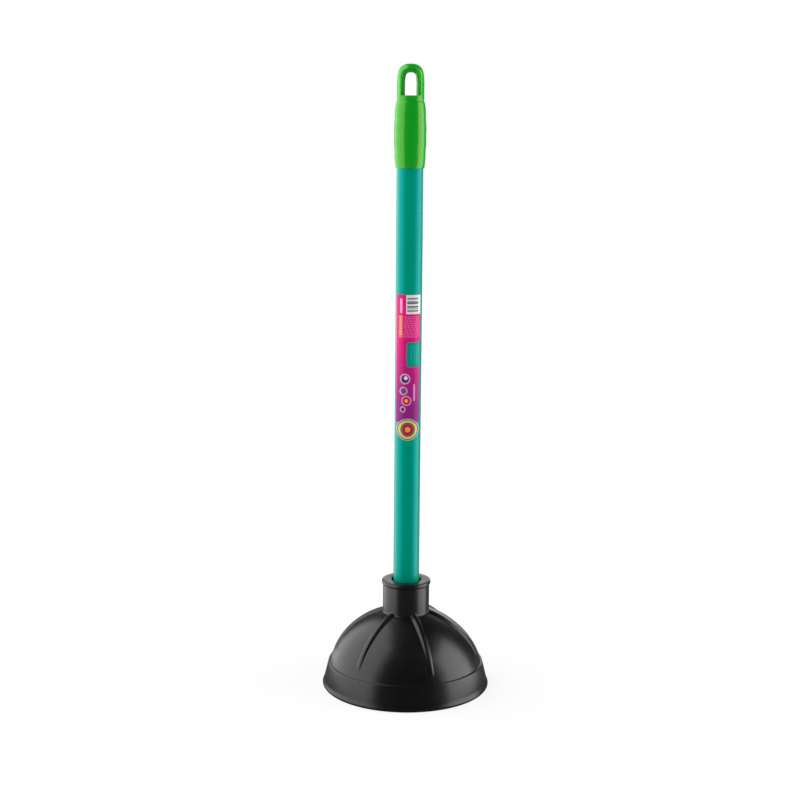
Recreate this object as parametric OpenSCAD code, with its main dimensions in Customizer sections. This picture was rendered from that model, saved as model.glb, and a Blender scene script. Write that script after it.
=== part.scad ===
// Toilet plunger: a rubber cup with a screwed-in, plastic-sheathed handle.
// Millimetres. The origin is the centre of the rim on the floor, and +Z runs up the handle.
// Azimuths are counted from the front, which faces -Y, towards +X.

/* [Cup] */
// Radius of the outside of the bell, a part of a sphere
dome_r = 65.6; // [55:0.1:80]
// Height of that sphere's centre above the floor
dome_centre_z = 3; // [0:0.1:8]
// Thickness of the bell's wall
dome_wall = 4; // [3:0.1:6]
// Height of the rim band
band_h = 21.4; // [14:0.1:28]
// Step from the bell's foot out to the band's top edge
band_ledge = 3.4; // [2.5:0.1:6]
// How far the band flares out from its top edge to the rim
band_flare = 5.1; // [2:0.1:9]
// Thickness of the band at the floor
rim_wall = 6.8; // [5:0.1:9]
// Rounding of the rim's outer bottom edge
rim_round = 2; // [1:0.1:3]
// Fillet between the bell's foot and the band's ledge
ledge_fillet = 0.6; // [0.5:0.1:2]

/* [Ribs] */
// Number of raised ribs round the bell
rib_count = 6; // [3:1:10]
// Azimuth of the first rib
rib_first = 20.5; // [0:0.5:60]
// Height of a rib over the bell
rib_h = 2.2; // [1:0.1:3]
// Width of a rib at half its height, at the neck's foot
rib_w_top = 5.4; // [3:0.1:8]
// Width of a rib at half its height, level with the band's top
rib_w_foot = 3.8; // [2:0.1:6]
// Lean of a rib's flanks from square to the bell
rib_draft = 40; // [10:1:45]
// Height above the band at which a rib has run out
rib_end = 4.5; // [3:0.5:12]
// Length over which a rib runs out
rib_run = 5; // [4:0.5:14]

/* [Neck] */
// Diameter of the neck
neck_d = 39.6; // [36:0.1:48]
// Height of the neck above its foot on the bell
neck_h = 27.9; // [22:0.1:36]
// Fillet between the neck and the bell
neck_fillet = 1.2; // [1:0.1:3.5]
// Height of the beaded lip
lip_h = 3.8; // [2.5:0.1:6]
// How far the lip stands out from the neck
lip_out = 1; // [0.4:0.1:2.5]
// Rounding of the lip's outer edges
lip_round = 1.2; // [0.3:0.1:1.6]
// Gap round the handle at the mouth of the neck
mouth_gap = 1.45; // [0.5:0.05:2.5]
// Depth of the mouth, down to the shoulder that the tip's flange stops on
mouth_depth = 4.5; // [3:0.1:8]
// Rubber left below the blind end of the socket
socket_floor = 4.5; // [3:0.1:8]
// Rubber round the blind end of the socket, inside the bell
boss_wall = 5.5; // [4:0.1:8]

/* [Handle] */
// Diameter of the handle over its sheath
handle_d = 22; // [20:0.5:26]
// Length of handle that shows between the neck and the grip
handle_reach = 348.7; // [150:0.1:700]
// Thickness of the plastic sheath
sheath_wall = 0.5; // [0.3:0.05:1]
// Wall of the steel tube
tube_wall = 0.6; // [0.4:0.05:1.2]

/* [Threaded tip] */
// Diameter over the thread's crests
thread_d = 20.4; // [17:0.1:21]
// Length of the threaded part
thread_len = 26; // [20:0.5:32]
// Thickness of the flange under the tube's end
flange_h = 1.6; // [1:0.1:3]
// Length of the plug inside the tube
plug_len = 24; // [12:0.5:40]
// Wall of the hollow tip
tip_wall = 2.4; // [1.6:0.1:4]
// Chamfer on the thread's leading end
tip_chamfer = 2; // [0.5:0.1:3]

/* [Hang grip] */
// Wall of the grip's lower edge round the handle
grip_wall = 0.75; // [0.6:0.05:2]
// Length of the grip's body, up to the eye's shoulder
grip_body_h = 53.4; // [36:0.1:80]
// Number of finger swells along the body
swell_count = 4; // [2:1:6]
// How far the body is fuller at mid length than at its ends
grip_fullness = 0.85; // [0:0.05:2]
// Height of each finger swell over the creases beside it
swell_h = 0.3; // [0.1:0.05:0.8]
// Depth of the tube in the grip
tube_in_grip = 46; // [20:0.5:70]
// Diameter of the eye
eye_d = 22.4; // [18:0.1:26]
// Height of the eye above the body
eye_h = 30.2; // [26:0.1:44]
// Rounding of the eye's crown
crown_round = 8; // [5:0.1:9]
// Width of the hanging slot at mid depth
slot_w = 10; // [6:0.1:12]
// Height of the slot at mid depth
slot_h = 18.2; // [12:0.1:20]
// Height of the slot's floor above the eye's shoulder
slot_base = 5; // [4:0.1:8]
// Flare of the slot's sides and round top from mid depth to the eye's front
slot_flare = 3.5; // [0.5:0.1:4]

/* [Label] */
// Height of the label
label_h = 107; // [60:1:140]
// Height of the label's top edge above the neck
label_top = 245.7; // [200:0.1:300]
// How far round the handle the label reaches to the left
label_left = 64; // [40:1:80]
// How far round the handle the label reaches to the right
label_right = 60; // [40:1:80]
// Radius of the round tab at the label's foot
label_tab_r = 9.4; // [7:0.1:9.8]
// How far the tab's centre lies below the label's foot
label_tab_drop = 6; // [0:0.1:6.5]
// Thickness of the film
label_film = 0.12; // [0.05:0.01:0.3]

/* [Clearances] */
// Running clearance between pieces that move on each other
run_gap = 0.3; // [0.1:0.05:0.5]
// Clearance between pieces that are pressed or bonded together
fit_gap = 0.03; // [0.01:0.01:0.08]

/* [Hidden] */
$fn = 96;

// A cut reaches this far past the faces that it has to clear
over = 1;

// Radius of a circle about the sphere's centre, at a height above the floor
function ball_r_at(ball_r, z) = sqrt(pow(ball_r, 2) - pow(z - dome_centre_z, 2));
// Height of such a circle above the floor, at a radius from the axis
function ball_z_at(ball_r, r) = dome_centre_z + sqrt(pow(ball_r, 2) - pow(r, 2));

// Cup
neck_r = neck_d / 2;
band_top_r = ball_r_at(dome_r, band_h) + band_ledge;
rim_r = band_top_r + band_flare;
inner_r = dome_r - dome_wall;
neck_foot_z = ball_z_at(dome_r, neck_r);
neck_top_z = neck_foot_z + neck_h;
rib_crest_r = dome_r + rib_h;
// The flat cut between the bell and its neck lies just above the fillets and the ribs' upper ends
split_z = max(ball_z_at(rib_crest_r, neck_r), neck_foot_z + 2 * neck_fillet) + over;

// Handle, stacked upwards from the shoulder in the neck's mouth
handle_r = handle_d / 2;
tube_r = handle_r - sheath_wall - fit_gap;
tube_in_r = tube_r - tube_wall;
mouth_r = handle_r + mouth_gap;
shoulder_z = neck_top_z - mouth_depth;
flange_z = shoulder_z + run_gap;
tube_z = flange_z + flange_h + fit_gap;
thread_r = thread_d / 2;
thread_end_z = flange_z - thread_len;
socket_r = thread_r + run_gap;
socket_z = thread_end_z - over;
boss_r = socket_r + boss_wall;
boss_z = socket_z - socket_floor;
plug_r = tube_in_r - fit_gap;

// Grip
grip_z = neck_top_z + handle_reach;
bore_r = handle_r + fit_gap;
grip_end_r = bore_r + grip_wall;
tube_top_z = grip_z + tube_in_grip;
eye_z = grip_z + grip_body_h;
eye_top_z = eye_z + eye_h;
eye_r = eye_d / 2;
slot_z = eye_z + slot_base;

// Label
label_r = handle_r + fit_gap;
label_top_z = neck_top_z + label_top;
label_foot_z = label_top_z - label_h;

// Where a line from point p touches a circle on its right-hand side
function touch(centre, r, p) =
    let (a = atan2(p.y - centre.y, p.x - centre.x) - acos(r / norm(p - centre)))
    centre + r * [cos(a), sin(a)];

// Corners of an outline, cut back to where each corner's rounding starts and ends.
// A corner is [x, y, radius].
function corner_reach(a, p, b) =
    let (u = (a - p) / norm(a - p), v = (b - p) / norm(b - p))
    1 / tan(acos(u * v) / 2);
function xy(c) = [c.x, c.y];
function before(c, i) = xy(c[(i + len(c) - 1) % len(c)]);
function after(c, i) = xy(c[(i + 1) % len(c)]);
function step_to(p, q, d) = p + d * (q - p) / norm(q - p);
function corner_cut(c, i) =
    let (p = xy(c[i]), d = c[i].z * corner_reach(before(c, i), p, after(c, i)))
    d == 0 ? [p] : [step_to(p, before(c, i), d), step_to(p, after(c, i), d)];
function corner_centre(c, i) =
    let (p = xy(c[i]), cut = corner_cut(c, i), mid = (cut[0] + cut[1]) / 2)
    let (half = norm(cut[1] - cut[0]) / 2, d = norm(mid - p))
    p + (mid - p) * (pow(d, 2) + pow(half, 2)) / pow(d, 2);

// An outline whose outward corners are rounded by true arcs
module rounded_outline(corners) {
    polygon([for (i = [0:len(corners) - 1]) each corner_cut(corners, i)]);
    for (i = [0:len(corners) - 1])
        if (corners[i].z > 0)
            translate(corner_centre(corners, i)) circle(corners[i].z);
}

// Fillet that rolls on the outside of the bell, with its centre at the given place
module bell_fillet(centre, r, foot) {
    on_bell = step_to([0, dome_centre_z], centre, dome_r);
    difference() {
        polygon([[0, foot.y], foot, centre, on_bell, [0, on_bell.y]]);
        translate(centre) circle(r);
    }
}

// Half section of the bell, band and boss, before the ribs and the socket
module bell_section() {
    neck_roll_r = neck_r + neck_fillet;
    neck_roll = [neck_roll_r, ball_z_at(dome_r + neck_fillet, neck_roll_r)];
    ledge_roll_z = band_h + ledge_fillet;
    ledge_roll = [ball_r_at(dome_r + ledge_fillet, ledge_roll_z), ledge_roll_z];
    rim_roll = [rim_r - rim_round, rim_round];
    band_edge = [band_top_r, band_h];
    inner_band_r = ball_r_at(inner_r, band_h);
    rim_in_r = rim_r - rim_wall;
    difference() {
        union() {
            intersection() {
                translate([0, dome_centre_z]) circle(dome_r);
                translate([0, band_h / 2]) square([rim_r, dome_r + band_h]);
            }
            bell_fillet(neck_roll, neck_fillet, [neck_r, neck_roll.y]);
            bell_fillet(ledge_roll, ledge_fillet, [ledge_roll.x, band_h]);
            translate([0, dome_centre_z]) square([neck_r, split_z - dome_centre_z]);
            polygon([
                [0, 0],
                [rim_roll.x, 0],
                touch(rim_roll, rim_round, band_edge),
                band_edge,
                [0, band_h]
            ]);
            translate(rim_roll) circle(rim_round);
        }
        difference() {
            union() {
                intersection() {
                    translate([0, dome_centre_z]) circle(inner_r);
                    translate([-over, band_h]) square([rim_r, dome_r]);
                }
                polygon([
                    [-over, -over],
                    [rim_in_r + over * (rim_in_r - inner_band_r) / band_h, -over],
                    [inner_band_r, band_h],
                    [-over, band_h]
                ]);
            }
            translate([-over, boss_z]) square([boss_r + over, dome_r]);
        }
    }
}

// Half section of a rib: a skin over the bell that runs out above the band
module rib_section() {
    end_z = band_h + rib_end;
    full_z = end_z + rib_run;
    intersection() {
        difference() {
            translate([0, dome_centre_z]) circle(rib_crest_r);
            translate([0, dome_centre_z]) circle(dome_r - dome_wall / 2);
        }
        polygon([
            [neck_r - neck_fillet, split_z],
            [neck_r - neck_fillet, end_z],
            [ball_r_at(dome_r - rib_h, end_z), end_z],
            [ball_r_at(dome_r, end_z), end_z],
            [ball_r_at(rib_crest_r, full_z), full_z],
            [rib_crest_r, full_z],
            [rib_crest_r, split_z]
        ]);
    }
}

// All that lies inside one flank of a rib that points along +X: a disc about the bell's centre
// with a coned face, tipped so that the rib narrows on its way down
module rib_side(side) {
    tip = atan((rib_w_top - rib_w_foot) / 2 / (neck_foot_z - band_h));
    half_at_centre = rib_w_foot / 2 - (band_h - dome_centre_z) * tan(tip);
    mid_r = dome_r + rib_h / 2;
    out_r = rib_crest_r + over;
    translate([0, 0, dome_centre_z])
        rotate([side * (90 - tip), 0, 0])
            rotate_extrude()
                polygon([
                    [0, -half_at_centre - mid_r * tan(rib_draft)],
                    [out_r, -half_at_centre + (out_r - mid_r) * tan(rib_draft)],
                    [out_r, neck_r],
                    [0, neck_r]
                ]);
}

// A rib that points along +X
module rib() {
    intersection() {
        rotate_extrude() rib_section();
        rib_side(1);
        rib_side(-1);
        translate([0, -neck_r, 0]) cube([rim_r, neck_d, neck_top_z]);
    }
}

// The bell of the cup, with its ribs and the blind end of the handle's socket
module rubber_cup() {
    color([0.13, 0.13, 0.13])
    difference() {
        union() {
            rotate_extrude() bell_section();
            for (i = [0:rib_count - 1])
                rotate([0, 0, rib_first - 90 + i * 360 / rib_count]) rib();
        }
        translate([0, 0, socket_z]) cylinder(h = split_z - socket_z + over, r = socket_r);
    }
}

// The neck of the cup: a thick ring with a beaded lip and a mouth that is wider than the handle
module cup_collar() {
    lip_r = neck_r + lip_out;
    lip_z = neck_top_z - lip_h;
    color([0.15, 0.15, 0.15])
    rotate_extrude()
        difference() {
            union() {
                translate([0, split_z]) square([neck_r, neck_top_z - split_z - lip_h / 2]);
                rounded_outline([
                    [0, lip_z, 0],
                    [lip_r, lip_z, lip_round],
                    [lip_r, neck_top_z, lip_round],
                    [0, neck_top_z, 0]
                ]);
            }
            translate([-over, split_z - over]) square([socket_r + over, neck_h + 2 * over]);
            translate([-over, shoulder_z]) square([mouth_r + over, mouth_depth + over]);
        }
}

// Hollow plastic tip: thread envelope, flange and the plug that is pressed into the tube
module threaded_tip() {
    plug_z = flange_z + flange_h;
    color([0.2, 0.2, 0.21])
    rotate_extrude()
        difference() {
            union() {
                polygon([
                    [0, thread_end_z],
                    [thread_r - tip_chamfer, thread_end_z],
                    [thread_r, thread_end_z + tip_chamfer],
                    [thread_r, flange_z],
                    [0, flange_z]
                ]);
                translate([0, flange_z]) square([handle_r, flange_h]);
                polygon([
                    [0, plug_z],
                    [plug_r, plug_z],
                    [plug_r, plug_z + plug_len - over],
                    [plug_r - over, plug_z + plug_len],
                    [0, plug_z + plug_len]
                ]);
            }
            translate([-over, thread_end_z + tip_wall])
                square([min(plug_r, thread_r) - tip_wall + over, thread_len + flange_h + plug_len]);
        }
}

// A straight length of tube that starts on the tip's flange and ends inside the grip
module handle_layer(outer_r, wall) {
    translate([0, 0, tube_z])
        linear_extrude(tube_top_z - tube_z)
            difference() {
                circle(outer_r);
                circle(outer_r - wall);
            }
}

// Thin steel tube that carries the handle
module core_tube() {
    color([0.62, 0.63, 0.65]) handle_layer(tube_r, tube_wall);
}

// Plastic skin drawn over the steel tube
module tube_sheath() {
    color([0, 0.62, 0.56]) handle_layer(handle_r, sheath_wall);
}

// Radius of the grip's body at a crease between two finger swells
function crease_r(i) = grip_end_r + grip_fullness * sin(180 * i / swell_count);
function crease_z(i) = grip_z + grip_body_h * i / swell_count;

// Half section of one finger swell: a barrel between two creases
module swell_section(i) {
    low = [crease_r(i), crease_z(i)];
    high = [crease_r(i + 1), crease_z(i + 1)];
    half = norm(high - low) / 2;
    arc_r = (pow(half, 2) + pow(swell_h, 2)) / (2 * swell_h);
    inward = [low.y - high.y, high.x - low.x] / (2 * half);
    intersection() {
        translate((low + high) / 2 + (arc_r - swell_h) * inward) circle(arc_r);
        translate([0, low.y]) square([2 * handle_d, high.y - low.y]);
    }
}

// The hanging slot: a flat floor, and sides and a round top that flare from mid depth to both faces
module hanging_slot() {
    half_w = slot_w / 2;
    face_y = eye_r + over;
    face_w = half_w + slot_flare * face_y / eye_r;
    arch_z = slot_z + slot_h - half_w;
    for (side = [-90, 90])
        translate([0, 0, arch_z]) rotate([side, 0, 0]) cylinder(h = face_y, r1 = half_w, r2 = face_w);
    translate([0, 0, slot_z])
        linear_extrude(arch_z - slot_z)
            polygon([
                [half_w, 0], [face_w, face_y], [-face_w, face_y],
                [-half_w, 0], [-face_w, -face_y], [face_w, -face_y]
            ]);
}

// Moulded grip: a body of finger swells over the tube, and a round eye with a slot to hang it by
module hang_grip() {
    color([0.33, 0.72, 0.16])
    difference() {
        rotate_extrude() {
            for (i = [0:swell_count - 1]) swell_section(i);
            intersection() {
                rounded_outline([
                    [0, eye_z - over, 0],
                    [eye_r, eye_z - over, 0],
                    [eye_r, eye_top_z, crown_round],
                    [0, eye_top_z, 0]
                ]);
                translate([0, grip_z]) square([handle_d, eye_top_z - grip_z]);
            }
        }
        hanging_slot();
        translate([0, 0, grip_z - over]) cylinder(h = tube_in_grip + fit_gap + over, r = bore_r);
    }
}

// Film label on the front of the handle, with a round tab at its foot
module label() {
    reach_left = label_r * sin(label_left);
    reach_right = label_r * sin(label_right);
    tab_z = label_foot_z - label_tab_drop;
    foot_z = tab_z - label_tab_r - over;
    color([0.78, 0.08, 0.44])
    intersection() {
        translate([0, 0, foot_z])
            linear_extrude(label_top_z - foot_z)
                difference() {
                    circle(label_r + label_film);
                    circle(label_r);
                }
        rotate([90, 0, 0])
            linear_extrude(handle_d)
                union() {
                    translate([-reach_left, label_foot_z]) square([reach_left + reach_right, label_h]);
                    translate([0, tab_z]) circle(label_tab_r);
                }
    }
}

rubber_cup();
cup_collar();
threaded_tip();
core_tube();
tube_sheath();
hang_grip();
label();
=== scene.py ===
import math

import bpy
from mathutils import Matrix, Vector


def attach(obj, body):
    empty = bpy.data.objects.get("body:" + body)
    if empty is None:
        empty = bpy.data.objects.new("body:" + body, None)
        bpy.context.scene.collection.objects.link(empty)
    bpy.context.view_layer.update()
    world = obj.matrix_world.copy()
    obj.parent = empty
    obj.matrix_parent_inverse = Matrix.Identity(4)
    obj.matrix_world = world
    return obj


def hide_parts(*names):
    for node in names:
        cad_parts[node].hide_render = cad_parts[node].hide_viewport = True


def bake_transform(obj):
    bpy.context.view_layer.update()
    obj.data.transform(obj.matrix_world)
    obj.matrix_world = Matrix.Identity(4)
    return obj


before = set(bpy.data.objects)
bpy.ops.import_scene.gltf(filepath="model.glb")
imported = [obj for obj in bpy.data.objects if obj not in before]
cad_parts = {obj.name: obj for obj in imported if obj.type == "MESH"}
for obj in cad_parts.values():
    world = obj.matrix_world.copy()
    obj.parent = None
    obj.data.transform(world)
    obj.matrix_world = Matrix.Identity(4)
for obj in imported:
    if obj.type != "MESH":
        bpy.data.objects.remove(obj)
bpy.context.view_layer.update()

bpy.context.scene.view_settings.view_transform = "Standard"


# Rubber cup: bell, rim band, neck and beaded lip in one black rubber moulding, with six raised ribs.
# The skin is turned from one half section and the ribs are raised on it. It grips the handle's thread.
MM = 0.001
WELD_GAP, NEAR = 0.004, 0.01
BELL_R, BELL_Z, BELL_STEPS = 65.6, 3.0, 58
BELL_FULL, BELL_FULL_SPAN = 1.8, 42
BELL_IN_R = 61.6
BAND_H, BAND_TOP_R = 21.4, 66.37
BAND_FOOT_IN, BAND_FOOT_Z, BAND_HEAD_OUT = 0.75, 3.2, 0.11
RIM_R, RIM_IN_R, RIM_ROUND, RIM_CHAMFER = 71.47, 64.67, 2.0, 0.6
LEDGE_ROUND, LEDGE_FILLET, LEDGE_OUT, LEDGE_FROM = 0.8, 0.6, 0.08, 25
NECK_R, NECK_FILLET = 19.8, 1.2
LIP_R, LIP_Z, LIP_TOP, LIP_ROUND = 20.8, 89.64, 93.44, 1.2
LIP_FILLET, LIP_FOOT_DROP = 0.25, 0.45
MOUTH_R, MOUTH_ROUND, SHOULDER_Z = 12.45, 1.2, 88.94
SOCKET_R, SOCKET_Z, SOCKET_CHAMFER = 10.5, 62.24, 0.3
BOSS_R, BOSS_Z, BOSS_ROUND = 16.0, 57.74, 1.5
CUP_STEPS, CUP_SMOOTH = 480, 50
RIB_COUNT, RIB_FIRST = 6, 20.5
RIB_H, RIB_GROWTH = 2.3, 1.1
RIB_W_TOP, RIB_W_FOOT = 4.9, 2.9
RIB_FLANK_TOP, RIB_FLANK_FOOT = 3.3, 1.1
RIB_END_Z, RIB_RUN = 26.0, 4.5
ROOT_Z, ROOT_LOSS, ROOT_FADE = 48.0, 0.15, 5.0
CREST_COLUMNS, FLANK_COLUMNS, PLAIN_EVEN = 0.15, 0.45, 0.45
RUBBER_DARK, RUBBER_PALE = (0.0032, 0.0032, 0.0033), (0.0072, 0.0072, 0.0073)


def arc(r, z, radius, start, stop, steps):
    turns = [math.radians(start + (stop - start) * i / steps) for i in range(steps + 1)]
    return [(r + radius * math.cos(a), z + radius * math.sin(a)) for a in turns]


def run(start, stop, steps):
    return [tuple(a + (b - a) * i / steps for a, b in zip(start, stop)) for i in range(steps + 1)]


def ball_r(radius, z):
    return math.sqrt(radius ** 2 - (z - BELL_Z) ** 2)


def ball_z(radius, r):
    return BELL_Z + math.sqrt(radius ** 2 - r ** 2)


def add(primitive, name, **sizes):
    bpy.ops.object.select_all(action="DESELECT")
    getattr(bpy.ops.mesh, f"primitive_{primitive}_add")(**sizes)
    piece = bpy.context.object
    piece.name = piece.data.name = name
    return piece


def weld(distance):
    bpy.ops.mesh.select_all(action="SELECT")
    bpy.ops.mesh.remove_doubles(threshold=distance)
    bpy.ops.mesh.normals_make_consistent(inside=False)
    bpy.ops.object.mode_set(mode="OBJECT")


def finish_with(piece, kind, **settings):
    bpy.context.view_layer.objects.active = piece
    modifier = piece.modifiers.new(kind, kind)
    for key, value in settings.items():
        setattr(modifier, key, value)
    bpy.ops.object.modifier_apply(modifier=modifier.name)


def turned(name, section, steps):
    piece = add("plane", name, size=MM)
    bpy.ops.object.mode_set(mode="EDIT")
    bpy.ops.mesh.select_mode(type="VERT")
    bpy.ops.mesh.merge(type="CENTER")
    bpy.ops.transform.translate(value=(section[0][0] * MM, 0, section[0][1] * MM))
    for (r, z), (r_next, z_next) in zip(section, section[1:]):
        step = ((r_next - r) * MM, 0, (z_next - z) * MM)
        bpy.ops.mesh.extrude_vertices_move(TRANSFORM_OT_translate={"value": step})
    bpy.ops.object.mode_set(mode="OBJECT")
    finish_with(piece, "SCREW", axis="Z", angle=math.tau, screw_offset=0, steps=steps, render_steps=steps,
                use_merge_vertices=True, merge_threshold=WELD_GAP * MM)
    bpy.ops.object.mode_set(mode="EDIT")
    weld(WELD_GAP * MM)
    return piece


def soft_shade(piece, degrees):
    bpy.ops.object.select_all(action="DESELECT")
    piece.select_set(True)
    bpy.context.view_layer.objects.active = piece
    bpy.ops.object.shade_smooth_by_angle(angle=math.radians(degrees))


def ease(t):
    t = min(max(t, 0.0), 1.0)
    return t * t * (3 - 2 * t)


ledge_roll_z = BAND_H + LEDGE_FILLET
ledge_roll_r = ball_r(BELL_R + BELL_FULL + LEDGE_FILLET, ledge_roll_z)
ledge_lift = math.degrees(math.atan2(ledge_roll_z - BELL_Z, ledge_roll_r))
neck_roll_r = NECK_R + NECK_FILLET
neck_roll_z = ball_z(BELL_R + NECK_FILLET, neck_roll_r)
neck_lift = math.degrees(math.atan2(neck_roll_z - BELL_Z, neck_roll_r))
boss_top_z = ball_z(BELL_IN_R, BOSS_R)
inner_top = math.degrees(math.atan2(boss_top_z - BELL_Z, BOSS_R))
inner_foot = math.degrees(math.asin((BAND_H - BELL_Z) / BELL_IN_R))
band_lean = math.degrees(math.atan2(RIM_R - BAND_TOP_R, BAND_H))


def bell_r(lift):
    return BELL_R + BELL_FULL * (1 - ease((lift - ledge_lift) / BELL_FULL_SPAN))


bell_lifts = [ledge_lift + (neck_lift - ledge_lift) * i / BELL_STEPS for i in range(1, BELL_STEPS + 1)]
cup_section = [
    (0, BOSS_Z),
    *arc(BOSS_R - BOSS_ROUND, BOSS_Z + BOSS_ROUND, BOSS_ROUND, -90, 0, 4),
    *arc(0, BELL_Z, BELL_IN_R, inner_top, inner_foot, 28),
    *run((ball_r(BELL_IN_R, BAND_H), BAND_H), (RIM_IN_R, RIM_CHAMFER), 5)[1:],
    (RIM_IN_R + RIM_CHAMFER, 0),
    *arc(RIM_R - RIM_ROUND, RIM_ROUND, RIM_ROUND, -90, band_lean, 7),
    *run((RIM_R - BAND_FOOT_IN, BAND_FOOT_Z), (BAND_TOP_R + BAND_HEAD_OUT, BAND_H - LEDGE_ROUND), 6),
    *arc(BAND_TOP_R - LEDGE_ROUND + LEDGE_OUT, BAND_H - LEDGE_ROUND, LEDGE_ROUND, LEDGE_FROM, 90, 3),
    *arc(ledge_roll_r, ledge_roll_z, LEDGE_FILLET, -90, ledge_lift - 180, 4),
    *(arc(0, BELL_Z, bell_r(lift), lift, lift, 1)[0] for lift in bell_lifts),
    *arc(neck_roll_r, neck_roll_z, NECK_FILLET, neck_lift + 180, 180, 6)[1:],
    *run((NECK_R, neck_roll_z), (NECK_R, neck_roll_z + ROOT_FADE), 4)[1:],
    (NECK_R, LIP_Z - LIP_FOOT_DROP),
    *arc(NECK_R + LIP_FILLET, LIP_Z - LIP_FILLET, LIP_FILLET, 180, 90, 3),
    *arc(LIP_R - LIP_ROUND, LIP_Z + LIP_ROUND, LIP_ROUND, -90, 0, 6),
    *arc(LIP_R - LIP_ROUND, LIP_TOP - LIP_ROUND, LIP_ROUND, 0, 90, 6),
    *arc(MOUTH_R + MOUTH_ROUND, LIP_TOP - MOUTH_ROUND, MOUTH_ROUND, 90, 180, 4),
    (MOUTH_R, SHOULDER_Z),
    (SOCKET_R + SOCKET_CHAMFER, SHOULDER_Z),
    (SOCKET_R, SHOULDER_Z - SOCKET_CHAMFER),
    (SOCKET_R, SOCKET_Z),
    (0, SOCKET_Z),
]
cup = turned("rubber_cup_skin", cup_section, CUP_STEPS)

rib_turn = 360 / RIB_COUNT
for vertex in cup.data.vertices:
    x, y, z = vertex.co / MM
    r = math.hypot(x, y)
    if r < SOCKET_R - NEAR:
        continue
    turn = math.degrees(math.atan2(x, -y)) - RIB_FIRST
    off = turn - rib_turn * round(turn / rib_turn)
    share = min(max((z - BAND_H) / (neck_roll_z - BAND_H), 0), 1)
    half = (RIB_W_FOOT + (RIB_W_TOP - RIB_W_FOOT) * share) / 2
    flank = RIB_FLANK_FOOT + (RIB_FLANK_TOP - RIB_FLANK_FOOT) * share
    crest_edge, flank_foot = half - flank / 2, half + flank / 2
    column = abs(off) * 2 / rib_turn
    plain = max(column - FLANK_COLUMNS, 0) / (1 - FLANK_COLUMNS)
    plain = PLAIN_EVEN * plain + (1 - PLAIN_EVEN) * plain ** 2
    on_flank = min(max((column - CREST_COLUMNS) / (FLANK_COLUMNS - CREST_COLUMNS), 0), 1)
    across = crest_edge * min(column / CREST_COLUMNS, 1) + flank * on_flank
    across += (r * math.sin(math.radians(rib_turn / 2)) - flank_foot) * plain
    turn += math.copysign(math.degrees(math.asin(across / r)), off) - off
    rise = RIB_H * share ** RIB_GROWTH * ease(1 - on_flank)
    rise *= 1 - ROOT_LOSS * ease((z - ROOT_Z) / (neck_roll_z - ROOT_Z))
    lift = math.degrees(math.atan2(z - BELL_Z, r))
    if abs(math.hypot(r, z - BELL_Z) - bell_r(lift)) < 2 * NEAR and z > RIB_END_Z:
        rise *= ease((z - RIB_END_Z) / RIB_RUN)
        r += rise * math.cos(math.radians(lift))
        z += rise * math.sin(math.radians(lift))
    elif NECK_R - NEAR < r < neck_roll_r and ball_z(BELL_R, r) < z < neck_roll_z + ROOT_FADE:
        z += rise / math.sin(math.radians(neck_lift)) * ease((neck_roll_z + ROOT_FADE - z) / ROOT_FADE)
    angle = math.radians(turn + RIB_FIRST)
    vertex.co = (r * math.sin(angle) * MM, -r * math.cos(angle) * MM, z * MM)
soft_shade(cup, CUP_SMOOTH)


def put(tree, kind, inputs=(), **settings):
    made = tree.nodes.new("ShaderNode" + kind)
    for key, value in settings.items():
        setattr(made, key, value)
    for key, value in dict(inputs).items():
        if isinstance(value, bpy.types.NodeSocket):
            tree.links.new(value, made.inputs[key])
        else:
            made.inputs[key].default_value = value
    return made


def finish_of(name, **sockets):
    material = bpy.data.materials.new(name)
    material.use_nodes = True
    tree = material.node_tree
    shader = tree.nodes["Principled BSDF"]
    for key, value in sockets.items():
        shader.inputs[key.replace("_", " ")].default_value = value
    place = put(tree, "TexCoord").outputs["Object"]
    return material, tree, shader, place


def blend_colours(tree, amount, low, high):
    mix = put(tree, "Mix", data_type="RGBA")
    for socket, value in (("Factor_Float", amount), ("A_Color", low), ("B_Color", high)):
        target = next(s for s in mix.inputs if s.identifier == socket)
        if isinstance(value, bpy.types.NodeSocket):
            tree.links.new(value, target)
        else:
            target.default_value = value if isinstance(value, float) else (*value, 1)
    return next(s for s in mix.outputs if s.identifier == "Result_Color")


def spread(tree, value, low, high, from_low=0.0, from_high=1.0):
    sizes = {"Value": value, "From Min": from_low, "From Max": from_high, "To Min": low, "To Max": high}
    return put(tree, "MapRange", sizes).outputs["Result"]


def coloured(tree, shader, amount, low, high):
    tree.links.new(blend_colours(tree, amount, low, high), shader.inputs["Base Color"])


def roughened(tree, shader, value, low, high, scuff, rougher):
    rough = put(tree, "Math", {0: spread(tree, value, low, high), 1: spread(tree, scuff, 0.0, rougher)})
    tree.links.new(rough.outputs[0], shader.inputs["Roughness"])


def bumped(tree, shader, height, depth, strength):
    bump = put(tree, "Bump", {"Height": height, "Distance": depth, "Strength": strength})
    tree.links.new(bump.outputs["Normal"], shader.inputs["Normal"])


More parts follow.
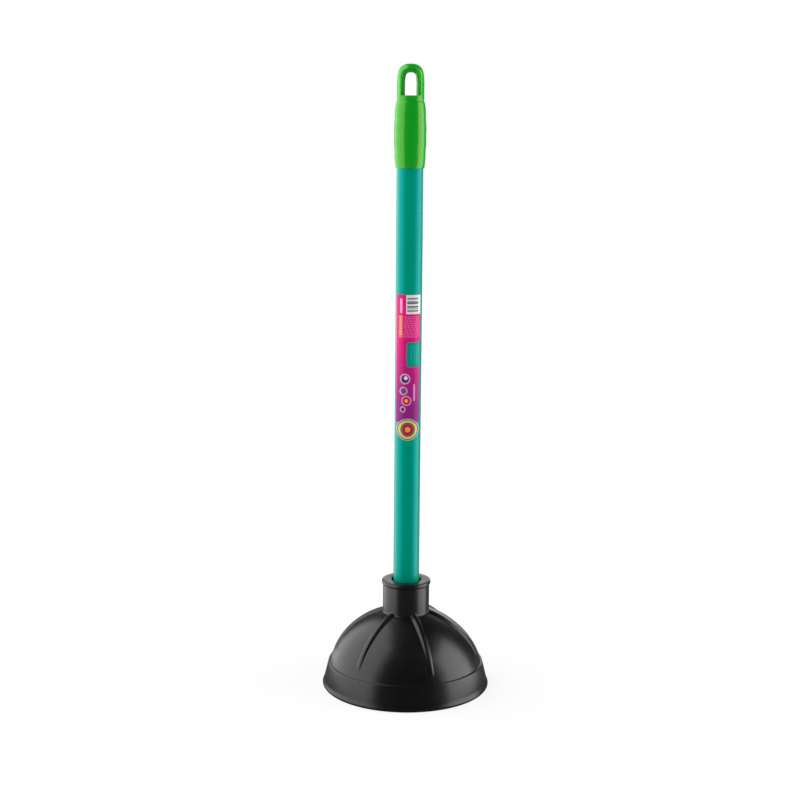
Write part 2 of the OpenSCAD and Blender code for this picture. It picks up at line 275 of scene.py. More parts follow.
moulded = bpy.data.node_groups.new("moulded_skin", "ShaderNodeTree")
for label, kind in (("Place", "Vector"), ("Grain", "Float"), ("Cloud", "Float")):
    moulded.interface.new_socket(label, in_out="INPUT", socket_type="NodeSocket" + kind)
for label in ("Grain", "Cloud", "Scuff"):
    moulded.interface.new_socket(label, in_out="OUTPUT", socket_type="NodeSocketFloat")
given = moulded.nodes.new("NodeGroupInput").outputs
result = moulded.nodes.new("NodeGroupOutput").inputs
grain = put(moulded, "TexNoise", {"Vector": given["Place"], "Scale": given["Grain"], "Detail": 2.0})
cloud = put(moulded, "TexNoise", {"Vector": given["Place"], "Scale": given["Cloud"], "Detail": 4.0})
streak = {"Vector": given["Place"], "Rotation": (0.5, 0.3, 0.2), "Scale": (1, 9, 1)}
streaked = put(moulded, "Mapping", streak).outputs[0]
scuff = put(moulded, "TexNoise", {"Vector": streaked, "Scale": given["Cloud"], "Detail": 6.0})
moulded.links.new(grain.outputs["Fac"], result["Grain"])
moulded.links.new(cloud.outputs["Fac"], result["Cloud"])
moulded.links.new(spread(moulded, scuff.outputs["Fac"], 0.0, 1.0, 0.55, 0.75), result["Scuff"])


def moulded_skin(tree, place, grain_per_m, cloud_per_m):
    skin = put(tree, "Group", node_tree=moulded)
    tree.links.new(place, skin.inputs["Place"])
    skin.inputs["Grain"].default_value = grain_per_m
    skin.inputs["Cloud"].default_value = cloud_per_m
    return skin.outputs


rubber, tree, shader, place = finish_of("black_rubber_skin", Specular_IOR_Level=0.5)
skin = moulded_skin(tree, place, grain_per_m=2600.0, cloud_per_m=60.0)
coloured(tree, shader, skin["Cloud"], RUBBER_DARK, RUBBER_PALE)
roughened(tree, shader, skin["Cloud"], low=0.25, high=0.33, scuff=skin["Scuff"], rougher=0.06)
bumped(tree, shader, skin["Grain"], depth=0.00003, strength=0.5)
cup.data.materials.append(rubber)
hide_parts("rubber_cup", "cup_collar")
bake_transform(cup)


# Threaded tip: the dark plastic plug that is pressed into the tube's lower end and screws into the neck.
# Moulded hollow, with a coarse round-crested thread below a flange and a plug above it.
THREAD_ROOT, THREAD_PITCH, THREAD_TURNS = 8.7, 4.0, 5
THREAD_FOOT_Z, THREAD_START_Z, THREAD_SUNK = 63.24, 65.1, 0.4
THREAD_RIDGE = ((THREAD_SUNK, 0.0), (1.0, 0.7), (0.45, 0.35), (0.0, 0.7),
                (-0.45, 0.35), (-1.0, 0.7), (-THREAD_SUNK, 0.0))
TIP_CHAMFER, TIP_WALL = 1.6, 2.2
FLANGE_R, FLANGE_Z, FLANGE_TOP = 11.0, 89.24, 90.84
FLANGE_ROUND, FLANGE_FILLET = 0.25, 0.3
PLUG_R, PLUG_TOP, PLUG_CHAMFER = 9.81, 114.84, 1.0
TIP_STEPS, FINE_WELD_GAP = 96, 0.001
PLASTIC_SMOOTH = 40
TIP_DARK, TIP_PALE = (0.014, 0.014, 0.015), (0.03, 0.03, 0.032)

tip_bore = THREAD_ROOT - TIP_WALL
tip = turned("threaded_tip_moulding", [
    (0, THREAD_FOOT_Z),
    (THREAD_ROOT - TIP_CHAMFER, THREAD_FOOT_Z),
    (THREAD_ROOT, THREAD_FOOT_Z + TIP_CHAMFER),
    (THREAD_ROOT, FLANGE_Z - FLANGE_FILLET),
    (THREAD_ROOT + FLANGE_FILLET, FLANGE_Z),
    *arc(FLANGE_R - FLANGE_ROUND, FLANGE_Z + FLANGE_ROUND, FLANGE_ROUND, -90, 0, 3),
    *arc(FLANGE_R - FLANGE_ROUND, FLANGE_TOP - FLANGE_ROUND, FLANGE_ROUND, 0, 90, 3),
    (PLUG_R, FLANGE_TOP),
    (PLUG_R, PLUG_TOP - PLUG_CHAMFER),
    (PLUG_R - PLUG_CHAMFER, PLUG_TOP),
    (tip_bore, PLUG_TOP),
    (tip_bore, THREAD_FOOT_Z + TIP_WALL),
    (0, THREAD_FOOT_Z + TIP_WALL),
], TIP_STEPS)

thread = add("plane", "thread_ridge", size=MM)
bpy.ops.object.mode_set(mode="EDIT")
bpy.ops.mesh.merge(type="CENTER")
bpy.ops.transform.translate(value=((THREAD_ROOT - THREAD_SUNK) * MM, 0, THREAD_START_Z * MM))
for out, up in THREAD_RIDGE:
    bpy.ops.mesh.extrude_vertices_move(TRANSFORM_OT_translate={"value": (out * MM, 0, up * MM)})
bpy.ops.mesh.select_all(action="SELECT")
bpy.ops.mesh.edge_face_add()
bpy.ops.mesh.delete(type="ONLY_FACE")
bpy.ops.object.mode_set(mode="OBJECT")
finish_with(thread, "SCREW", axis="Z", angle=math.tau, screw_offset=THREAD_PITCH * MM,
            iterations=THREAD_TURNS, steps=TIP_STEPS, render_steps=TIP_STEPS, use_merge_vertices=False)
bpy.ops.object.mode_set(mode="EDIT")
bpy.ops.mesh.select_all(action="DESELECT")
bpy.ops.mesh.select_mode(type="EDGE")
bpy.ops.mesh.select_non_manifold()
bpy.ops.mesh.fill_holes(sides=0)
weld(FINE_WELD_GAP * MM)
finish_with(tip, "BOOLEAN", operation="UNION", solver="EXACT", object=thread)
bpy.data.objects.remove(thread)
soft_shade(tip, PLASTIC_SMOOTH)

tip_plastic, tree, shader, place = finish_of("tip_plastic_skin", Specular_IOR_Level=0.45)
skin = moulded_skin(tree, place, grain_per_m=3200.0, cloud_per_m=140.0)
coloured(tree, shader, skin["Cloud"], TIP_DARK, TIP_PALE)
tree.links.new(spread(tree, skin["Scuff"], 0.42, 0.6), shader.inputs["Roughness"])
bumped(tree, shader, skin["Grain"], depth=0.00003, strength=0.4)
tip.data.materials.append(tip_plastic)
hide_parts("threaded_tip")
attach(tip, "tip")


# Core tube: the thin welded steel tube inside the handle, closed by the tip and the grip.
# It keeps its CAD solid and gets a cold-rolled steel finish with draw lines along it.
STEEL_DARK, STEEL_PALE = (0.36, 0.365, 0.375), (0.62, 0.63, 0.64)

steel, tree, shader, place = finish_of("cold_rolled_steel", Metallic=1.0)
drawn = put(tree, "Mapping", {"Vector": place, "Scale": (1, 1, 0.02)})
lines = put(tree, "TexNoise", {"Vector": drawn.outputs[0], "Scale": 1800.0, "Detail": 4.0})
coloured(tree, shader, lines.outputs["Fac"], STEEL_DARK, STEEL_PALE)
tree.links.new(spread(tree, lines.outputs["Fac"], 0.25, 0.45), shader.inputs["Roughness"])
bumped(tree, shader, lines.outputs["Fac"], depth=0.00002, strength=0.5)
core_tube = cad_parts["core_tube"]
core_tube.data.materials.clear()
core_tube.data.materials.append(steel)


# Tube sheath: the teal plastic skin that is shrunk over the steel tube, smooth and semi-gloss.
# A thin open sleeve with a turned-in, rounded edge at each end; faint draw lines run along it.
SHEATH_R, SHEATH_WALL = 11.0, 0.5
SHEATH_FOOT, SHEATH_TOP = 90.87, 488.14
SHEATH_ROUND, SHEATH_STEPS = 0.18, 128
TEAL_DEEP, TEAL_PALE, TEAL_SHINE = (0.0, 0.36, 0.225), (0.0, 0.41, 0.265), (0.0, 0.33, 1.0, 1.0)

sheath = turned("teal_sheath_sleeve", [
    *run((SHEATH_R, SHEATH_FOOT + SHEATH_ROUND), (SHEATH_R, SHEATH_TOP - SHEATH_ROUND), 8),
    *arc(SHEATH_R - SHEATH_ROUND, SHEATH_TOP - SHEATH_ROUND, SHEATH_ROUND, 0, 90, 4)[1:],
    (SHEATH_R - SHEATH_WALL, SHEATH_TOP),
    (SHEATH_R - SHEATH_WALL, SHEATH_FOOT),
    *arc(SHEATH_R - SHEATH_ROUND, SHEATH_FOOT + SHEATH_ROUND, SHEATH_ROUND, -90, 0, 4),
], SHEATH_STEPS)
soft_shade(sheath, PLASTIC_SMOOTH)

teal, tree, shader, place = finish_of(
    "teal_sheath_plastic", Specular_IOR_Level=0.6, Specular_Tint=TEAL_SHINE)
drawn = put(tree, "Mapping", {"Vector": place, "Scale": (1, 1, 0.015)})
lines = put(tree, "TexNoise", {"Vector": drawn.outputs[0], "Scale": 700.0, "Detail": 5.0})
skin = moulded_skin(tree, place, grain_per_m=1500.0, cloud_per_m=45.0)
ripple = put(tree, "Math", {0: lines.outputs["Fac"], 1: skin["Cloud"], 2: 0.5}, operation="MULTIPLY_ADD")
coloured(tree, shader, spread(tree, skin["Cloud"], 0.2, 0.8), TEAL_DEEP, TEAL_PALE)
roughened(tree, shader, lines.outputs["Fac"], low=0.2, high=0.28, scuff=skin["Scuff"], rougher=0.08)
bumped(tree, shader, ripple.outputs[0], depth=0.00002, strength=0.35)
sheath.data.materials.append(teal)
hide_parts("tube_sheath")
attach(sheath, "handle")


# Hang grip: the green plastic cap that is pressed over the tube's top, with four soft finger swells.
# Injection moulded; the round eye above it has a hanging slot right through that flares to both faces.
# It is shaped as a coarse cage of rings, opened and bridged for the slot, and then subdivided.
GRIP_SIDES, GRIP_LEVELS, GRIP_SMOOTH = 16, 3, 60
GRIP_FOOT, GRIP_BODY_H, GRIP_END_R, GRIP_FULLNESS, GRIP_SWELLS = 442.14, 53.4, 11.78, 1.25, 4
SWELL_H, SWELL_EDGE, SWELL_GROOVE = 0.45, 1.6, 0.05
BORE_R, BORE_TOP = 11.03, 488.17
EYE_Z, EYE_R, EYE_TOP = 495.54, 11.2, 525.74
SLOT_FOOT, SLOT_TOP, SLOT_SLOPE = 500.54, 518.74, 2.8
SLOT_CORNER_CREASE, SLOT_ARCH_CREASE, SLOT_SIDE_CREASE = 0.8, 0.35, 0.15
WAIST_HALF, SLOT_SIDE_DROP, PICK_GAP = 2.8, 3, 0.1
AT_MID_Y, AT_FACE_Y, AT_EDGE_Y = 0.5, 3, 6
GREEN_DEEP, GREEN_PALE, GREEN_SHINE = (0.002, 0.4, 0.016), (0.006, 0.46, 0.022), (1.0, 0.9, 0.45, 1.0)

# A ring of this many sides draws in by this share when it is subdivided
ring_share = (2 + math.cos(math.tau / GRIP_SIDES)) / 3
slot_low, slot_high = SLOT_FOOT - 0.2, SLOT_TOP + SLOT_SLOPE
waist_low, waist_high = SLOT_FOOT + 0.1, SLOT_TOP - SLOT_SLOPE / 2

# Radius and height of each ring of the cage, from the bore's top down and then up the outside
grip_rings = [
    (BORE_R, BORE_TOP - 1),
    (BORE_R, GRIP_FOOT + 1),
    (BORE_R, GRIP_FOOT + 0.1),
    (BORE_R + 0.15, GRIP_FOOT),
    (GRIP_END_R - 0.3, GRIP_FOOT),
    (GRIP_END_R, GRIP_FOOT + 0.35),
]
swell_len = GRIP_BODY_H / GRIP_SWELLS
for i in range(GRIP_SWELLS):
    low = GRIP_END_R + GRIP_FULLNESS * math.sin(math.pi * i / GRIP_SWELLS)
    high = GRIP_END_R + GRIP_FULLNESS * math.sin(math.pi * (i + 1) / GRIP_SWELLS)
    foot = GRIP_FOOT + swell_len * i
    if i:
        grip_rings.append((low - SWELL_GROOVE, foot))
    grip_rings += [
        (low + SWELL_H * 0.5, foot + SWELL_EDGE),
        ((low + high) / 2 + SWELL_H, foot + swell_len / 2),
        (high + SWELL_H * 0.5, foot + swell_len - SWELL_EDGE),
    ]
grip_rings += [
    (GRIP_END_R, EYE_Z - 0.8),
    (GRIP_END_R - 0.4, EYE_Z),
    (EYE_R - 0.3, EYE_Z + 0.1),
    (EYE_R, EYE_Z + 1.0),
    (EYE_R, slot_low),
    (EYE_R, slot_low + 3.2),
    (EYE_R, SLOT_FOOT + 8),
    (EYE_R, SLOT_TOP - 3.5),
    (9.8, slot_high),
    (7.6, EYE_TOP - 2.1),
    (4.8, EYE_TOP - 0.4),
    (2.0, EYE_TOP),
]

grip = add("circle", "hang_grip_moulding", vertices=GRIP_SIDES, radius=BORE_R / ring_share * MM,
           fill_type="NGON", location=(0, 0, BORE_TOP * MM), rotation=(0, 0, 0))
bpy.ops.object.transform_apply(location=True, rotation=True, scale=True)


def chosen(piece, kind, test):
    bpy.ops.object.mode_set(mode="OBJECT")
    mesh = piece.data
    for part in (*mesh.vertices, *mesh.edges, *mesh.polygons):
        part.select = False
    for part in getattr(mesh, {"VERT": "vertices", "EDGE": "edges", "FACE": "polygons"}[kind]):
        ends = [mesh.vertices[i].co / MM for i in ([part.index] if kind == "VERT" else part.vertices)]
        part.select = all(test(*end) for end in ends)
    bpy.ops.object.mode_set(mode="EDIT")
    bpy.ops.mesh.select_mode(type=kind)


chosen(grip, "EDGE", lambda x, y, z: True)
ring_r, ring_z = BORE_R, BORE_TOP
for r, z in grip_rings:
    bpy.ops.mesh.extrude_edges_move(TRANSFORM_OT_translate={"value": (0, 0, (z - ring_z) * MM)})
    bpy.ops.transform.resize(value=(r / ring_r, r / ring_r, 1), center_override=(0, 0, z * MM))
    ring_r, ring_z = r, z
bpy.ops.mesh.edge_face_add()

slot_edge = EYE_R / ring_share * math.sin(math.radians(45)) + 0.05


def in_slot(x, z, top):
    return abs(x) < slot_edge and slot_low - PICK_GAP < z < top


chosen(grip, "FACE", lambda x, y, z: in_slot(x, z, slot_high + PICK_GAP) and abs(y) > AT_FACE_Y)
bpy.ops.mesh.delete(type="FACE")
bpy.ops.mesh.select_all(action="DESELECT")
bpy.ops.mesh.select_mode(type="EDGE")
bpy.ops.mesh.select_non_manifold()
bpy.ops.mesh.bridge_edge_loops(number_cuts=1, interpolation="LINEAR")

narrowing = (waist_high - waist_low) / (slot_high - slot_low)
still_z = (waist_low - narrowing * slot_low) / (1 - narrowing)
chosen(grip, "VERT", lambda x, y, z: abs(y) < AT_MID_Y and abs(x) < slot_edge
       and slot_low - 1 < z < slot_high + 1)
bpy.ops.transform.resize(value=(WAIST_HALF / slot_edge, 1, narrowing), center_override=(0, 0, still_z * MM))

# How the arch is rounded: at a face or at mid depth, height, nearest and farthest x, scale and drop
arch_moves = (
    (True, slot_high, 6, 9, (0.88, 1.04, 1), -2.4),
    (True, slot_high, 3, 6, (0.97, 0.92, 1), -0.6),
    (True, slot_high, -1, 1, (1, 0.86, 1), 0.0),
    (False, waist_high, 2, 4, (1, 1, 1), -0.6),
    (False, waist_high, 1, 2, (1, 1, 1), -0.15),
)
for at_face, top, near, far, scale, drop in arch_moves:
    chosen(grip, "VERT", lambda x, y, z: (abs(y) > AT_FACE_Y) == at_face
           and abs(z - top) < PICK_GAP and near < abs(x) < far)
    bpy.ops.transform.resize(value=scale, center_override=(0, 0, 0))
    bpy.ops.transform.translate(value=(0, 0, drop * MM))
chosen(grip, "EDGE", lambda x, y, z: abs(z - slot_low) < 1 and WAIST_HALF - PICK_GAP < abs(x) < slot_edge)
bpy.ops.transform.edge_crease(value=SLOT_CORNER_CREASE)
creases = ((SLOT_ARCH_CREASE, slot_high + PICK_GAP), (SLOT_SIDE_CREASE, SLOT_TOP - SLOT_SIDE_DROP))
for crease, top in creases:
    chosen(grip, "EDGE", lambda x, y, z: in_slot(x, z, top) and abs(y) > AT_EDGE_Y)
    bpy.ops.transform.edge_crease(value=crease)
weld(FINE_WELD_GAP * MM)
finish_with(grip, "SUBSURF", levels=GRIP_LEVELS, render_levels=GRIP_LEVELS)
soft_shade(grip, GRIP_SMOOTH)

green, tree, shader, place = finish_of(
    "green_grip_plastic", Specular_IOR_Level=0.6, Specular_Tint=GREEN_SHINE)
skin = moulded_skin(tree, place, grain_per_m=2200.0, cloud_per_m=70.0)
coloured(tree, shader, skin["Cloud"], GREEN_DEEP, GREEN_PALE)
roughened(tree, shader, skin["Cloud"], low=0.17, high=0.23, scuff=skin["Scuff"], rougher=0.08)
bumped(tree, shader, skin["Grain"], depth=0.00002, strength=0.35)
grip.data.materials.append(green)
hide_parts("hang_grip")
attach(grip, "handle")


# Label: a printed gloss film stuck round the front of the handle, with a round tab at its foot.
# Cut from a thin sleeve; its print is plain: a magenta to purple ground, a ruled white panel,
# fine lines, a teal rounded patch, a column of bubbles and a ringed spot.
FILM_R, FILM_WALL, FILM_STEPS = 11.03, 0.11, 360
LABEL_TOP, LABEL_FOOT, LABEL_TAB_R, LABEL_TAB_DROP = 339.14, 232.14, 9.4, 6.0
LABEL_LEFT, LABEL_RIGHT = 64, 60
CUTTER_DEEP, CUTTER_Y, CUTTER_STEPS = 20, -12, 96
PRINT_SOFT, GROUND_HIGH, GROUND_LOW = 0.12, 296.0, 244.0

film_foot, film_head = LABEL_FOOT - 2.5 * LABEL_TAB_R, LABEL_TOP + LABEL_TAB_R
film = turned("label_film_sheet", [
    (FILM_R, film_foot),
    (FILM_R + FILM_WALL, film_foot),
    (FILM_R + FILM_WALL, film_head),
    (FILM_R, film_head),
    (FILM_R, film_foot),
], FILM_STEPS)
reach_left = FILM_R * math.sin(math.radians(LABEL_LEFT))
reach_right = FILM_R * math.sin(math.radians(LABEL_RIGHT))
outline = add("cube", "label_outline", size=1)
outline.scale = ((reach_left + reach_right) * MM, CUTTER_DEEP * MM, (LABEL_TOP - LABEL_FOOT) * MM)
outline.location = ((reach_right - reach_left) / 2 * MM, CUTTER_Y * MM, (LABEL_TOP + LABEL_FOOT) / 2 * MM)
tab_z = LABEL_FOOT - LABEL_TAB_DROP
tab = add("cylinder", "label_tab_outline", vertices=CUTTER_STEPS, radius=LABEL_TAB_R * MM,
          depth=CUTTER_DEEP * MM, location=(0, CUTTER_Y * MM, tab_z * MM), rotation=(math.pi / 2, 0, 0))
finish_with(outline, "BOOLEAN", operation="UNION", solver="EXACT", object=tab)
finish_with(film, "BOOLEAN", operation="INTERSECT", solver="EXACT", object=outline)
bpy.data.objects.remove(tab)
bpy.data.objects.remove(outline)
soft_shade(film, PLASTIC_SMOOTH)


def srgb(*parts):
    return tuple((c / 255 / 12.92) if c < 11 else ((c / 255 + 0.055) / 1.055) ** 2.4 for c in parts)


patch = bpy.data.node_groups.new("printed_patch", "ShaderNodeTree")
for label in ("Across", "Up", "Centre Across", "Centre Up", "Half Width", "Half Height", "Corner"):
    patch.interface.new_socket(label, in_out="INPUT", socket_type="NodeSocketFloat")
patch.interface.new_socket("Mask", in_out="OUTPUT", socket_type="NodeSocketFloat")
given = patch.nodes.new("NodeGroupInput").outputs
result = patch.nodes.new("NodeGroupOutput").inputs


def sum_of(tree, operation, *values):
    return put(tree, "Math", dict(enumerate(values)), operation=operation).outputs[0]


past = []
for along, centre, half in (("Across", "Centre Across", "Half Width"), ("Up", "Centre Up", "Half Height")):
    off = sum_of(patch, "ABSOLUTE", sum_of(patch, "SUBTRACT", given[along], given[centre]))
    past.append(sum_of(patch, "SUBTRACT", off, sum_of(patch, "SUBTRACT", given[half], given["Corner"])))
outer = [sum_of(patch, "POWER", sum_of(patch, "MAXIMUM", side, 0.0), 2.0) for side in past]
away = sum_of(patch, "SQRT", sum_of(patch, "ADD", *outer))
inside = sum_of(patch, "MINIMUM", sum_of(patch, "MAXIMUM", *past), 0.0)
edge = sum_of(patch, "SUBTRACT", sum_of(patch, "ADD", away, inside), given["Corner"])
patch.links.new(spread(patch, edge, 1.0, 0.0, -PRINT_SOFT, PRINT_SOFT), result["Mask"])

printed, tree, shader, place = finish_of("printed_label_film", Specular_IOR_Level=0.14)
axes = put(tree, "SeparateXYZ", {0: place}).outputs
angle = sum_of(tree, "ARCTAN2", axes["X"], sum_of(tree, "MULTIPLY", axes["Y"], -1.0))
across = sum_of(tree, "MULTIPLY", angle, FILM_R)
straight = sum_of(tree, "MULTIPLY", axes["X"], 1 / MM)
up = sum_of(tree, "MULTIPLY", axes["Z"], 1 / MM)


def printed_mask(left, right, foot, top, corner=0.0, flat=False):
    made = put(tree, "Group", node_tree=patch)
    tree.links.new(straight if flat else across, made.inputs["Across"])
    tree.links.new(up, made.inputs["Up"])
    sizes = ((left + right) / 2, (foot + top) / 2, (right - left) / 2, (top - foot) / 2, corner)
    for socket, size in zip(list(made.inputs)[2:], sizes):
        socket.default_value = size
    return made.outputs["Mask"]


def ruled(value, pitch, share, mask, shift=0.0):
    place_in_pitch = sum_of(tree, "FRACT", sum_of(tree, "DIVIDE", sum_of(tree, "ADD", value, shift), pitch))
    return sum_of(tree, "MULTIPLY", mask, sum_of(tree, "LESS_THAN", place_in_pitch, share))


def spot(x, z, radius, flat=False):
    return printed_mask(x - radius, x + radius, z - radius, z + radius, radius, flat)


fade = spread(tree, up, 0.0, 1.0, GROUND_HIGH, GROUND_LOW)
ground = blend_colours(tree, fade, srgb(236, 10, 126), srgb(144, 36, 136))
skin = moulded_skin(tree, place, grain_per_m=900.0, cloud_per_m=90.0)
ground = blend_colours(tree, spread(tree, skin["Cloud"], 0.0, 0.18), ground, srgb(236, 70, 150))
fine_print = printed_mask(-4.0, 9.6, 303.5, 321.6)
slanted = sum_of(tree, "ADD", across, sum_of(tree, "MULTIPLY", up, 0.37))
fine_print = ruled(up, 1.5, 0.55, ruled(slanted, 3.1, 0.8, fine_print))
bars = printed_mask(-1.2, 8.6, 325.2, 337.9)
layers = [
    (printed_mask(-2.1, 14.0, 323.3, 340.0, 0.4), srgb(246, 246, 246)),
    (ruled(up, 3.4, 0.36, bars, 1.1), srgb(96, 94, 94)),
    (ruled(up, 2.1, 0.3, bars, 0.2), srgb(134, 132, 132)),
    (printed_mask(-7.7, -5.4, 324.0, 336.0, 0.5), srgb(250, 176, 214)),
    (printed_mask(-8.9, -5.1, 303.5, 322.4, 0.8), srgb(246, 126, 112)),
    (ruled(up, 2.3, 0.6, printed_mask(-7.9, -6.1, 305.0, 321.2)), srgb(252, 184, 164)),
    (fine_print, srgb(250, 104, 176)),
    (printed_mask(-1.4, 16.0, 279.0, 299.8, 2.6), srgb(0, 158, 138)),
    (ruled(across, 2.4, 0.35, printed_mask(0.8, 10.4, 281.5, 297.4), 0.4), srgb(0, 190, 182)),
    (printed_mask(4.5, 6.1, 250.4, 264.6, 0.6), srgb(238, 160, 214)),
    (spot(-2.6, 269.0, 4.5), srgb(226, 170, 214)),
    (spot(-2.6, 269.0, 3.3), srgb(86, 52, 104)),
    (spot(-1.9, 269.8, 1.6), srgb(250, 246, 250)),
    (spot(-3.9, 258.9, 3.6), srgb(226, 170, 214)),
    (spot(-3.9, 258.9, 2.5), srgb(112, 84, 132)),
    (spot(-1.4, 250.6, 4.3), srgb(244, 150, 204)),
    (spot(-1.4, 250.6, 3.2), srgb(206, 34, 76)),
    (spot(-1.4, 250.6, 1.5), srgb(250, 200, 90)),
    (spot(-4.4, 243.2, 2.6), srgb(226, 170, 214)),
    (spot(-4.4, 243.2, 1.6), srgb(86, 52, 104)),
    *((spot(0.0, tab_z, radius, flat=True), colour) for radius, colour in (
        (LABEL_TAB_R, srgb(240, 176, 214)),
        (LABEL_TAB_R - 0.7, srgb(40, 104, 76)),
        (LABEL_TAB_R - 1.4, srgb(236, 214, 112)),
        (LABEL_TAB_R - 3.3, srgb(20, 132, 88)),
        (LABEL_TAB_R - 4.5, srgb(206, 26, 84)),
        (LABEL_TAB_R - 7.2, srgb(252, 184, 64)),
    )),
]
for mask, colour in layers:
    ground = blend_colours(tree, mask, ground, colour)
tree.links.new(ground, shader.inputs["Base Color"])
tree.links.new(spread(tree, skin["Scuff"], 0.28, 0.42), shader.inputs["Roughness"])
bumped(tree, shader, skin["Cloud"], depth=0.00003, strength=0.3)
film.data.materials.append(printed)
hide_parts("label")
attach(film, "handle")


# Studio: a plain white floor that keeps a soft shadow, a tall soft panel at each side that stands on it,
# a white backdrop, a dark room behind the camera, and the camera at the photograph's place.
FLOOR_SIZE, FLOOR_PAINT, FLOOR_BOUNCE = 12.0, 0.16, 0.25
FLOOR_GLOW_NEAR, FLOOR_GLOW_FAR, GLOW_FROM, GLOW_TO = 0.84, 1.0, 0.15, 0.8
SHINE_FROM, SHINE_TO = 0.12, 0.28
PANEL_AWAY, LAMP_NIT = 1.0, math.pi
# Each panel's side, front edge, back edge, height and radiance
PANELS = ((-1, -1.0, 1.6, 3.2, 2.1), (1, -0.577, 0.42, 1.15, 3.2))
AMBIENT, ROOM_DARK, BACKDROP, FLOOR_BACK = 0.28, 0.02, 1.45, 0.12
BACK_HIGH, BACK_SOFT = 0.45, 0.1
# Where each side of the room starts and stops, in degrees round from the camera's side
ROOM_SIDES = (("Left", -140, -45), ("Right", 60, 110), ("Back", 152, 192))
SIDE_SOFT = 4
CAMERA_PLACE, CAMERA_LENS, CAMERA_SENSOR, CAMERA_NEAR = (0, -1.31869, 0.49951), 72, 36, 0.01
CAMERA_DOWN, CAMERA_ROLL, CAMERA_YAW = 10.7453, 0.4868, -0.2871

room = bpy.data.node_groups.new("room_round_about", "ShaderNodeTree")
room.interface.new_socket("Place", in_out="INPUT", socket_type="NodeSocketVector")
for label, _, _ in ROOM_SIDES:
    room.interface.new_socket(label, in_out="OUTPUT", socket_type="NodeSocketFloat")
way = put(room, "SeparateXYZ", {0: room.nodes.new("NodeGroupInput").outputs["Place"]}).outputs
turn = sum_of(room, "ARCTAN2", way["X"], sum_of(room, "MULTIPLY", way["Y"], -1.0))
turn = sum_of(room, "MULTIPLY", turn, 180 / math.pi)
result = room.nodes.new("NodeGroupOutput").inputs
for label, start, stop in ROOM_SIDES:
    middle, half = (start + stop) / 2, (stop - start) / 2
    off = sum_of(room, "WRAP", sum_of(room, "SUBTRACT", turn, middle), 180.0, -180.0)
    mask = spread(room, sum_of(room, "ABSOLUTE", off), 1.0, 0.0, half - SIDE_SOFT, half + SIDE_SOFT)
    room.links.new(mask, result[label])

floor = add("plane", "studio_floor", size=FLOOR_SIZE)
white = bpy.data.materials.new("floor_white")
white.use_nodes = True
tree = white.node_tree
tree.nodes.clear()
ray = put(tree, "LightPath").outputs
place = put(tree, "TexCoord").outputs["Object"]
# Painted reflection: to glossy and transmission rays the floor between the panels glows with the side
# panels' radiance, by direction round the object, and a little towards the back, and it stays dark near the
# object; to diffuse rays it glows at a steady bounce level, and to the camera it reads white
about = put(tree, "Group", {"Place": place}, node_tree=room).outputs
side_reach = sum_of(tree, "ABSOLUTE", put(tree, "SeparateXYZ", {0: place}).outputs["X"])
before_panel = sum_of(tree, "LESS_THAN", side_reach, PANEL_AWAY)
panels = sum_of(tree, "ADD", sum_of(tree, "MULTIPLY", about["Left"], PANELS[0][-1]),
                sum_of(tree, "MULTIPLY", about["Right"], PANELS[1][-1]))
behind = sum_of(tree, "MULTIPLY", about["Back"], FLOOR_BACK)
shine = sum_of(tree, "MULTIPLY_ADD", panels, before_panel, behind)
away = put(tree, "VectorMath", {0: place}, operation="LENGTH").outputs["Value"]
shine = sum_of(tree, "MULTIPLY", shine, spread(tree, away, 0.0, 1.0, SHINE_FROM, SHINE_TO))
mirrored = sum_of(tree, "MAXIMUM", ray["Is Glossy Ray"], ray["Is Transmission Ray"])
glow_level = put(tree, "MapRange", {"Value": mirrored, "To Min": FLOOR_BOUNCE, "To Max": shine}).outputs[0]
plain = spread(tree, away, FLOOR_GLOW_NEAR, FLOOR_GLOW_FAR, GLOW_FROM, GLOW_TO)
glow_level = put(tree, "MapRange", {"Value": ray["Is Camera Ray"], "To Min": glow_level, "To Max": plain})
paint = put(tree, "BsdfDiffuse", {"Color": (FLOOR_PAINT,) * 3 + (1,)})
glow = put(tree, "Emission", {"Strength": glow_level.outputs[0]})
both = put(tree, "AddShader", {0: paint.outputs[0], 1: glow.outputs[0]})
put(tree, "OutputMaterial", {"Surface": both.outputs[0]})
floor.data.materials.append(white)

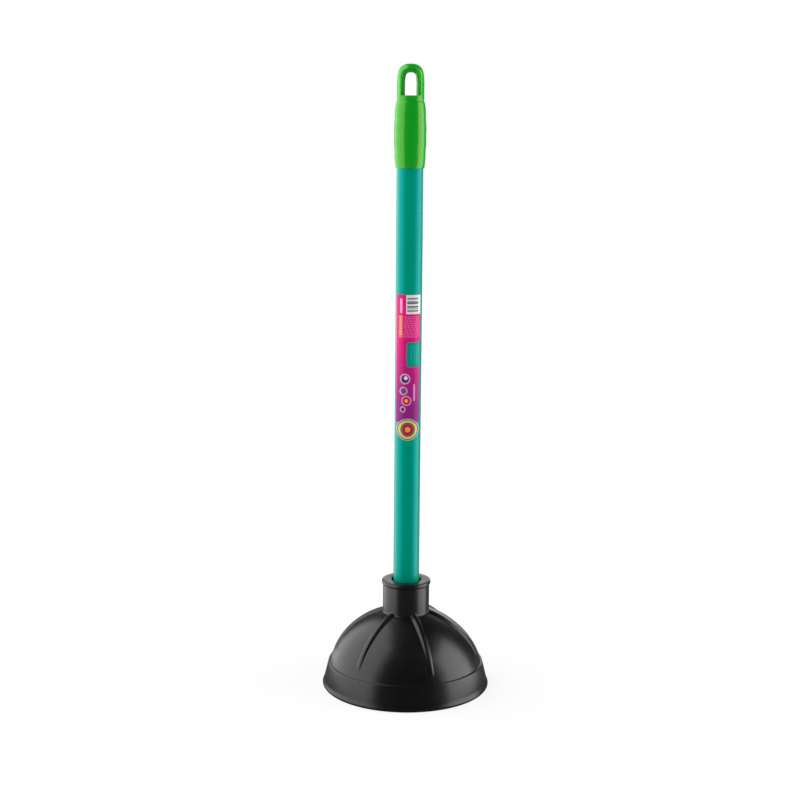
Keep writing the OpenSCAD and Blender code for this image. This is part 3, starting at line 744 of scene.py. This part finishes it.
world = bpy.data.worlds.new("white_studio")
bpy.context.scene.world = world
world.use_nodes = True
world.cycles.sampling_method = "NONE"
tree = world.node_tree
tree.nodes.clear()
ray = put(tree, "LightPath").outputs
place = put(tree, "TexCoord").outputs["Generated"]
about = put(tree, "Group", {"Place": place}, node_tree=room).outputs
height = put(tree, "SeparateXYZ", {0: place}).outputs["Z"]
backdrop = spread(tree, height, BACKDROP, 0.0, BACK_HIGH - BACK_SOFT, BACK_HIGH + BACK_SOFT)
backdrop = sum_of(tree, "MULTIPLY", about["Back"], backdrop)
backdrop = sum_of(tree, "MAXIMUM", backdrop, ROOM_DARK)
mirrored = sum_of(tree, "MAXIMUM", ray["Is Glossy Ray"], ray["Is Transmission Ray"])
level = put(tree, "MapRange", {"Value": mirrored, "To Min": AMBIENT, "To Max": backdrop}).outputs[0]
level = sum_of(tree, "MAXIMUM", level, ray["Is Camera Ray"])
background = put(tree, "Background", {"Color": (1, 1, 1, 1), "Strength": level})
put(tree, "OutputWorld", {"Surface": background.outputs[0]})

for side, front, back, high, radiance in PANELS:
    lamp = bpy.data.lights.new("soft_panel", "AREA")
    lamp.shape, lamp.size, lamp.size_y = "RECTANGLE", back - front, high
    lamp.energy = radiance * LAMP_NIT * lamp.size * lamp.size_y
    stand = bpy.data.objects.new("soft_panel", lamp)
    bpy.context.scene.collection.objects.link(stand)
    stand.location = (side * PANEL_AWAY, (front + back) / 2, high / 2)
    stand.rotation_euler = (math.pi / 2, 0, side * math.pi / 2)
    stand.visible_camera = False

down, roll, yaw = (math.radians(a) for a in (CAMERA_DOWN, CAMERA_ROLL, CAMERA_YAW))
ahead = Vector((math.sin(yaw) * math.cos(down), math.cos(yaw) * math.cos(down), -math.sin(down)))
right = Vector((math.cos(yaw), -math.sin(yaw), 0))
level_up = right.cross(ahead)
camera_x = math.cos(roll) * right + math.sin(roll) * level_up
camera_y = math.cos(roll) * level_up - math.sin(roll) * right
lens = bpy.data.cameras.new("camera")
lens.lens, lens.sensor_width, lens.clip_start = CAMERA_LENS, CAMERA_SENSOR, CAMERA_NEAR
camera = bpy.data.objects.new("camera", lens)
bpy.context.scene.collection.objects.link(camera)
facing = Matrix((camera_x, camera_y, -ahead)).transposed().to_4x4()
camera.matrix_world = Matrix.Translation(CAMERA_PLACE) @ facing
bpy.context.scene.camera = camera
